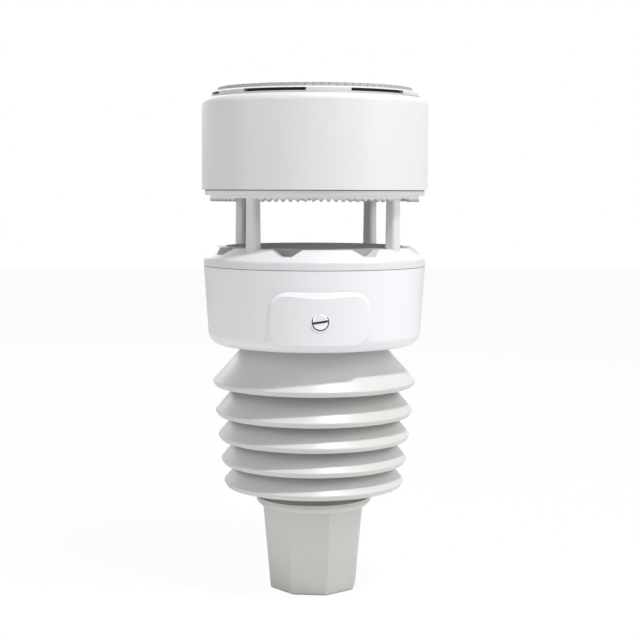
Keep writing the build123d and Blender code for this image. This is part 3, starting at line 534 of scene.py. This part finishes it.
def door_piece():
    """Service door: panel with a wide bevel on top that narrows at its corners, and a lip."""
    lowest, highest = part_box("service_door")
    centre_z = (lowest.z + highest.z) / 2 / MM
    width, height = (highest.x - lowest.x) / MM, (highest.z - lowest.z) / MM
    mesh = bmesh.new()
    rounded_plate(mesh, width, height, DOOR_CORNER, centre_z)
    wrap(mesh.verts[:], DOOR_BACK)
    front = bmesh.ops.extrude_face_region(mesh, geom=mesh.faces[:], use_keep_orig=True)["geom"]
    faces = [part for part in front if isinstance(part, bmesh.types.BMFace)]
    outline = verts_of(front)
    wrap(outline, DOOR_EDGE)
    top_band = centre_z + height / 2 - DOOR_TOP_BAND
    wrap([vert for vert in outline if vert.co.z > top_band], DOOR_TOP_EDGE)
    bmesh.ops.inset_region(mesh, faces=faces, thickness=DOOR_BEVEL, use_even_offset=True,
                           use_boundary=True)
    panel = list({vert for face in faces for vert in face.verts})
    for vert in panel:
        rise = max(0.0, (vert.co.z - centre_z - TOP_BEVEL_START) / (height / 2 - TOP_BEVEL_MARGIN))
        sideways = min(1.0, abs(vert.co.x) / TOP_BEVEL_HALF_WIDTH)
        dip = TOP_BEVEL_DIP + TOP_BEVEL_CROWN * cos(pi * sideways)
        vert.co.z -= dip * min(1.0, rise) ** 3
    wrap(panel, DOOR_FACE)
    bmesh.ops.recalc_face_normals(mesh, faces=mesh.faces)
    join(mesh, door_lip(width, height, centre_z), "door_lip")
    screw_low, screw_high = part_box("door_screw")
    foot = (0, screw_low.y / MM + SCREW_PROUD, (screw_low.z + screw_high.z) / 2 / MM)
    lathe(mesh, SCREW_COLLAR, 64, foot, (0, -1, 0))
    door = finish_piece(mesh, "door_panel", "service_door", "housing_white", DOOR_CREASE_ANGLE)
    edges = door.modifiers.new("soft_edges", "BEVEL")
    edges.width = DOOR_EDGE_ROUND * MM
    edges.segments = 3
    edges.limit_method = "ANGLE"
    edges.angle_limit = radians(DOOR_CREASE_ANGLE)
    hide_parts("service_door")


# ---------------------------------------------------------------- reflector dish and transducers
LINER_FLOOR_DROP = 0.4            # millimetres under the dish's highest point
TRANSDUCER_COUNT = 4
TRANSDUCER_RADIUS = 8.0
MATCHING_RING_PITCH = 1.1
MATCHING_RING_COUNT = 6


def dish_liner_piece():
    """Grainy bowl inside the rim ring, turned up at its edge behind the drain notches."""
    foot, edge = low("reflector_dish"), high("rim_ring")
    floor = high("reflector_dish") - LINER_FLOOR_DROP
    mesh = bmesh.new()
    lathe(mesh, [(0, foot), (56.6, foot), (58.3, foot + 1.7), (58.3, edge + 0.2),
                 (57.9, edge + 0.6), (57.3, edge + 0.5), (56.9, edge), (55.2, floor + 1.1),
                 (53.6, floor + 0.2), (51.5, floor), (0, floor)], 180)
    liner = finish_piece(mesh, "dish_liner", "station", "dish_grey", 40)
    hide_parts("reflector_dish")


def transducer_face_pieces():
    """Matching face with fine rings on each ultrasonic transducer under the head."""
    lowest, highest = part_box("transducers")
    furthest = (highest.x - lowest.x) / 2 / MM
    circle = (furthest - TRANSDUCER_RADIUS) / cos(radians(PATTERN_CLOCK))
    profile = [(0.0, 0.0)]
    for ring in range(1, MATCHING_RING_COUNT + 1):
        middle = ring * MATCHING_RING_PITCH
        profile += [(middle - 0.35, 0.0), (middle - 0.2, 0.18), (middle, 0.18),
                    (middle + 0.15, 0.0)]
    profile += [(7.5, 0.0), (7.9, 0.4), (7.9, 1.0), (0.0, 1.0)]
    mesh = bmesh.new()
    for number in range(TRANSDUCER_COUNT):
        clock = PATTERN_CLOCK + 360 / TRANSDUCER_COUNT * number
        lathe(mesh, profile, 48, around(clock, circle, low("transducers") - 0.5))
    finish_piece(mesh, "transducer_faces", "station", "component_black", 30)


# ---------------------------------------------------------------- small parts on the boards
# x, y, width along X and depth along Y
CHIPS = ((0, 22, 14, 14), (-28, 14, 12, 8), (30, 16, 10, 7), (-24, -14, 8, 8))
CHIP_LEG_PITCH = 1.27
CHIP_LEG_SIZE = (0.5, 1.3, 0.9)
CHIP_LEG_REACH = 0.5              # from the chip's side to the leg's middle
TERMINAL_X, TERMINAL_Y = 29.0, -42.0
TERMINAL_PITCH = 5.0
DIAL_POSITIONS = 10
DIAL_MARK_RADIUS = 3.9
DIAL_MARK_LIFT = 0.02             # towards the door, so that the marks aren't buried


def chip_legs():
    middle_z = high("main_board") + CHIP_LEG_SIZE[2] / 2
    legs = bmesh.new()
    for x, y, width, depth in CHIPS:
        count = int(width / CHIP_LEG_PITCH) - 1
        for number in range(count):
            along = (number - (count - 1) / 2) * CHIP_LEG_PITCH
            for side in (-1, 1):
                place = (x + along, y + side * (depth / 2 + CHIP_LEG_REACH), middle_z)
                block(legs, place, CHIP_LEG_SIZE)
    finish_piece(legs, "chip_legs", "station", "steel", 35)


def terminal_screws():
    top = high("terminal_block")
    screws = bmesh.new()
    for number in (-1, 0, 1):
        x = TERMINAL_X + TERMINAL_PITCH * number
        lathe(screws, [(0, -0.2), (1.7, -0.2), (1.9, 0.0), (1.9, 0.35), (1.6, 0.6), (0, 0.6)], 24,
              (x, TERMINAL_Y, top))
        block(screws, (x, TERMINAL_Y, top + 0.55), (3.4, 0.5, 0.25), 25)
    finish_piece(screws, "terminal_screws", "station", "steel", 35)


def dial_marks():
    """Plain ticks round the address dial, the first one longer."""
    lowest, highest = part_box("address_dial")
    centre_x, centre_z = (lowest.x + highest.x) / 2 / MM, (lowest.z + highest.z) / 2 / MM
    face_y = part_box("address_switch")[0].y / MM
    marks = bmesh.new()
    for number in range(DIAL_POSITIONS):
        made = block(marks, (0, 0, DIAL_MARK_RADIUS), (0.28, 0.12, 0.7 if number else 1.1))
        turn = Matrix.Rotation(radians(360 / DIAL_POSITIONS * number), 3, "Y")
        bmesh.ops.rotate(marks, verts=made, matrix=turn)
        bmesh.ops.translate(marks, verts=made, vec=(centre_x, face_y - DIAL_MARK_LIFT, centre_z))
    finish_piece(marks, "dial_marks", "station", "dial_white", 35)


door_screw_piece()
door_piece()
dish_liner_piece()
transducer_face_pieces()
chip_legs()
terminal_screws()
dial_marks()
